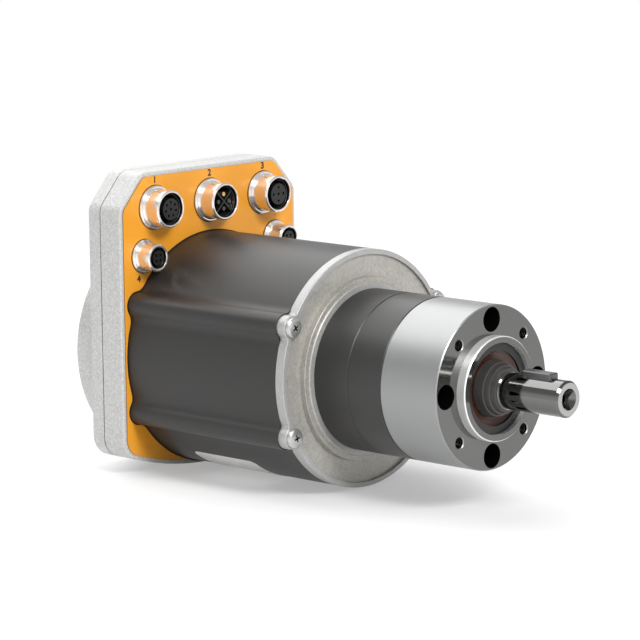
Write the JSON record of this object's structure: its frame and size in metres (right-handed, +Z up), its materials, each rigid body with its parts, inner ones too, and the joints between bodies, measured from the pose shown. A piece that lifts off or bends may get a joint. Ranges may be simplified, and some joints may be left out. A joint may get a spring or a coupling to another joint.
{
  "type": "motor gearbox unit",
  "caption": "Integrated motor and controller with planetary gearbox, keyed output shaft, round front flange and threaded plug sockets on the controller plate.",
  "frame": {"origin": "centre of the gearbox mounting face, on the shaft axis", "axes": "+X out along the output shaft, +Z up towards the row of large sockets, +Y to the left seen from behind the unit"},
  "size_m": [0.2169, 0.0986, 0.1206],
  "materials": {
    "gearbox_steel": "fine turned, bright",
    "dark_oxide": "dark satin",
    "shaft_steel": "ground",
    "bearing_steel": "polished",
    "gear_steel": "satin",
    "screw_steel": "polished",
    "black_screw": "black oxide",
    "flange_cast": "fine cast",
    "motor_dark": "satin",
    "box_cast": "fine textured",
    "shield_aluminium": "machined",
    "lamination": "stacked sheet",
    "magnet": "nickel plated",
    "copper": "enamelled wire",
    "bronze": "sintered",
    "contact_gold": "gold plated",
    "nickel": "nickel plated",
    "insulator_black": "matt",
    "insulator_natural": "matt",
    "film_orange": "satin film",
    "label_white": "satin film",
    "board_green": "solder resist",
    "component_black": "moulded",
    "capacitor_can": "sleeved can",
    "seal_brown": "fluoro rubber",
    "rubber_grey": "nitrile rubber",
    "gasket_black": "soft"
  },
  "bodies": {
    "motor_unit": {"output_housing": "gearbox_steel", "ring_gear": "dark_oxide", "gearbox_adapter": "dark_oxide", "gearbox_screws": "black_screw", "adapter_screws": "black_screw", "seal_case": "dark_oxide", "shaft_seal": "seal_brown", "bearing_circlip": "black_screw", "output_bearing_outer_rings": "bearing_steel", "output_bearing_shields": "bearing_steel", "motor_flange": "flange_cast", "flange_screws": "screw_steel", "motor_housing": "motor_dark", "stator_core": "lamination", "stator_insulators": "insulator_natural", "stator_windings": "copper", "motor_bearing_outer_rings": "bearing_steel", "motor_bearing_shields": "bearing_steel", "rear_bearing_shield": "shield_aluminium", "bearing_preload_washer": "screw_steel", "phase_pins": "copper", "rating_label": "label_white", "controller_housing": "box_cast", "controller_cover": "box_cast", "cover_gasket": "gasket_black", "cover_screws": "screw_steel", "housing_screws": "screw_steel", "main_board": "board_green", "board_screws": "screw_steel", "board_components": "component_black", "power_capacitors": "capacitor_can", "encoder_board": "board_green", "front_panel": "film_orange", "large_socket_inserts": "insulator_black", "small_socket_inserts": "insulator_black", "socket_contacts": "contact_gold", "socket_nuts": "nickel", "signal_socket_shell": "nickel", "power_socket_shell": "nickel", "bus_socket_shell": "nickel", "service_socket_shell": "nickel", "option_socket_shell": "nickel"},
    "rotor": {"rotor_shaft": "shaft_steel", "rotor_core": "lamination", "rotor_magnets": "magnet", "sun_gear": "gear_steel", "encoder_magnet": "magnet", "motor_bearing_inner_rings": "bearing_steel", "motor_bearing_balls": "bearing_steel"},
    "output": {"output_shaft": "shaft_steel", "carrier_plate": "gear_steel", "planet_pins": "bearing_steel", "planet_bushes": "bronze", "shaft_key": "shaft_steel", "v_ring": "rubber_grey", "output_bearing_inner_rings": "bearing_steel", "output_bearing_balls": "bearing_steel"},
    "planet_1": {"planet_gear_1": "gear_steel"},
    "planet_2": {"planet_gear_2": "gear_steel"},
    "planet_3": {"planet_gear_3": "gear_steel"}
  },
  "joints": [
    {"name": "rotor_spin", "type": "hinge", "parent": "motor_unit", "child": "rotor", "pos_m": [-0.1, 0, 0], "axis": [1, 0, 0], "continuous": true},
    {"name": "output_spin", "type": "hinge", "parent": "motor_unit", "child": "output", "pos_m": [0, 0, 0], "axis": [1, 0, 0], "continuous": true},
    {"name": "planet_1_spin", "type": "hinge", "parent": "output", "child": "planet_1", "pos_m": [-0.036, 0, 0.0135], "axis": [1, 0, 0], "continuous": true},
    {"name": "planet_2_spin", "type": "hinge", "parent": "output", "child": "planet_2", "pos_m": [-0.036, -0.01169, -0.00675], "axis": [1, 0, 0], "continuous": true},
    {"name": "planet_3_spin", "type": "hinge", "parent": "output", "child": "planet_3", "pos_m": [-0.036, 0.01169, -0.00675], "axis": [1, 0, 0], "continuous": true}
  ],
  "couplings": [
    {"joint": "output_spin", "follows": "rotor_spin", "ratio": 0.25},
    {"joint": "planet_1_spin", "follows": "rotor_spin", "ratio": -0.75},
    {"joint": "planet_2_spin", "follows": "rotor_spin", "ratio": -0.75},
    {"joint": "planet_3_spin", "follows": "rotor_spin", "ratio": -0.75}
  ]
}
